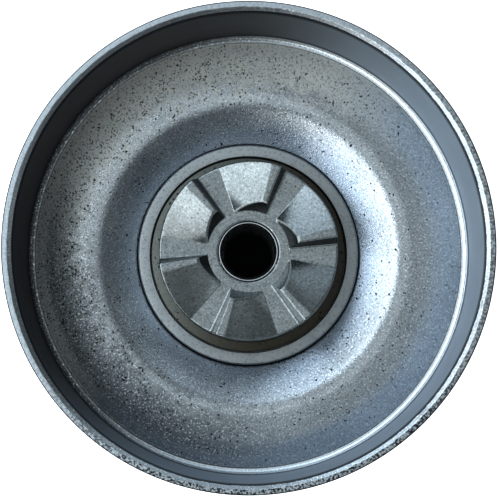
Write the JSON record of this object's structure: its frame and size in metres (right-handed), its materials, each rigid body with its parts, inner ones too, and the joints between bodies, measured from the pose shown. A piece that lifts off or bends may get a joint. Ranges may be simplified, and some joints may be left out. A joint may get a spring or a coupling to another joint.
{
  "type": "flywheel drum",
  "caption": "Pressed-steel flywheel drum with a crowned floor and a saw-tooth starting ratchet on its hub, turning freely on a plain bearing sleeve.",
  "frame": {"origin": "on the axis, at the rear face of the thrust washer, the lowest face of the part", "axes": "+Z along the axis towards the drum's open side; +X and +Y across it, one ratchet tooth's steep wall standing 7.5 degrees from +X"},
  "size_m": [0.112, 0.112, 0.0388],
  "materials": {
    "plated_steel": "zinc-plated pressed steel, satin, with fine pits and scuffs",
    "turned_steel": "turned, light grey, fine concentric marks",
    "sintered_steel": "sintered steel, finely grained and slightly porous",
    "spring_steel": "blackened spring steel",
    "bearing_bronze": "oil-filled sintered bronze",
    "hardened_steel": "hardened and ground, bright"
  },
  "bodies": {
    "bearing": {"bearing_sleeve": "hardened_steel", "thrust_washer": "hardened_steel"},
    "drum": {"drum_shell": "plated_steel", "hub_collar": "turned_steel", "ratchet_hub": "sintered_steel", "rear_clamp_ring": "turned_steel", "spring_ring": "spring_steel", "front_bush": "bearing_bronze", "rear_bush": "bearing_bronze"}
  },
  "joints": [
    {"name": "drum_spin", "type": "hinge", "parent": "bearing", "child": "drum", "pos_m": [0, 0, 0.0124], "axis": [0, 0, 1], "continuous": true}
  ]
}
